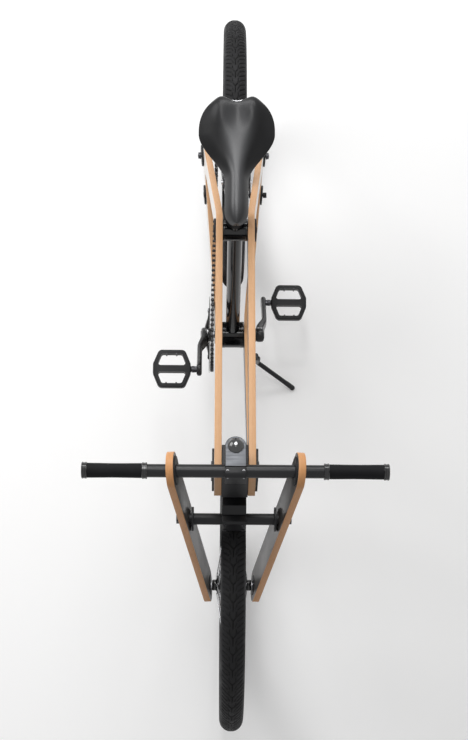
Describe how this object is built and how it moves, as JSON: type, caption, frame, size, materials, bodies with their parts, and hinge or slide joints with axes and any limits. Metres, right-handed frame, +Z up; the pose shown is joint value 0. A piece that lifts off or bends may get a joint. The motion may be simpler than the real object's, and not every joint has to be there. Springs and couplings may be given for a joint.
{
  "type": "wooden bicycle",
  "caption": "City bicycle with a frame of bent plywood panels, a twin-blade plywood fork, a straight handlebar, a coaster hub and a kickstand.",
  "frame": {"origin": "on the ground, at the centre of the whole bicycle's footprint", "axes": "+X forwards, +Y to the rider's left, +Z up; the bicycle leans to its left on the kickstand"},
  "size_m": [1.752, 0.6204, 0.9555],
  "materials": {
    "plywood": "satin lacquered plywood, laminations visible on the edges",
    "black_metal": "satin black paint",
    "stem_metal": "satin grey",
    "bright_metal": "brushed",
    "tyre": "matte black rubber with a block tread",
    "grip": "soft matte rubber",
    "saddle_leather": "smooth black leather",
    "plastic": "matte black"
  },
  "bodies": {
    "frame": {"frame_panel_right": "plywood", "frame_panel_left": "plywood", "seat_cross_tube": "black_metal", "seat_tube": "black_metal", "bottom_bracket_shell": "black_metal", "head_box": "black_metal", "head_plate_right": "black_metal", "head_plate_left": "black_metal", "seat_bolt_right": "black_metal", "seat_bolt_left": "black_metal", "stay_disc_right": "black_metal", "stay_disc_left": "black_metal", "dropout_disc_right": "black_metal", "dropout_disc_left": "black_metal", "rear_axle": "bright_metal", "rear_axle_nut_right": "bright_metal", "rear_axle_nut_left": "bright_metal", "coaster_brake_arm": "black_metal", "brake_arm_bolt": "black_metal", "chain": "black_metal", "kickstand_bracket": "black_metal", "seat_collar": "black_metal", "headset_bearing_upper": "black_metal", "headset_bearing_lower": "black_metal"},
    "seat": {"seatpost": "black_metal", "saddle_clamp": "black_metal", "saddle_rails": "bright_metal", "saddle_shell": "plastic", "saddle_cover": "saddle_leather"},
    "fork": {"steerer_tube": "black_metal", "stem": "stem_metal", "stem_faceplate": "black_metal", "top_cap": "black_metal", "lower_bracket": "black_metal", "lower_faceplate": "black_metal", "handlebar": "black_metal", "grip_right": "grip", "grip_left": "grip", "fork_blade_right": "plywood", "fork_blade_left": "plywood", "lower_cross_tube": "black_metal", "front_axle": "bright_metal", "front_axle_nut_right": "bright_metal", "front_axle_nut_left": "bright_metal"},
    "front_wheel": {"front_tyre": "tyre", "front_rim": "black_metal", "front_hub": "black_metal"},
    "rear_wheel": {"rear_tyre": "tyre", "rear_rim": "black_metal", "rear_hub": "black_metal"},
    "sprocket": {"rear_sprocket": "bright_metal"},
    "cranks": {"crank_spindle": "bright_metal", "crank_arm_right": "black_metal", "crank_arm_left": "black_metal", "chainring": "black_metal", "pedal_spindle_right": "bright_metal", "pedal_spindle_left": "bright_metal"},
    "right_pedal": {"pedal_right": "black_metal"},
    "left_pedal": {"pedal_left": "black_metal"},
    "kickstand": {"kickstand_leg": "black_metal"}
  },
  "joints": [
    {"name": "steering", "type": "hinge", "parent": "frame", "child": "fork", "pos_m": [0.49613, -0.00776, 0.32227], "axis": [-0.2613, 0.0126, 0.9652], "range_deg": [-55, 55]},
    {"name": "front_wheel_spin", "type": "hinge", "parent": "fork", "child": "front_wheel", "pos_m": [0.5415, -0.0076, 0.33455], "axis": [0, 0.9999, -0.0131], "continuous": true},
    {"name": "rear_wheel_spin", "type": "hinge", "parent": "frame", "child": "rear_wheel", "pos_m": [-0.5415, -0.0076, 0.33455], "axis": [0, 0.9999, -0.0131], "continuous": true},
    {"name": "crank_spin", "type": "hinge", "parent": "frame", "child": "cranks", "pos_m": [-0.0865, -0.00831, 0.28006], "axis": [0, 0.9999, -0.0131], "continuous": true},
    {"name": "sprocket_spin", "type": "hinge", "parent": "frame", "child": "sprocket", "pos_m": [-0.5415, -0.05059, 0.33511], "axis": [0, 0.9999, -0.0131], "continuous": true},
    {"name": "right_pedal_spin", "type": "hinge", "parent": "cranks", "child": "right_pedal", "pos_m": [0.03475, -0.15274, 0.40111], "axis": [0, 0.9999, -0.0131], "continuous": true},
    {"name": "left_pedal_spin", "type": "hinge", "parent": "cranks", "child": "left_pedal", "pos_m": [-0.20775, 0.13612, 0.159], "axis": [0, 0.9999, -0.0131], "continuous": true},
    {"name": "seat_height", "type": "slide", "parent": "frame", "child": "seat", "axis": [-0.2807, 0.0126, 0.9597], "range_m": [-0.08, 0.06]},
    {"name": "kickstand_fold", "type": "hinge", "parent": "frame", "child": "kickstand", "pos_m": [-0.0475, 0.04981, 0.21488], "axis": [0, 0.8834, 0.4687], "range_deg": [0, 93]}
  ],
  "couplings": [
    {"joint": "sprocket_spin", "follows": "crank_spin", "ratio": 2.4444}
  ]
}
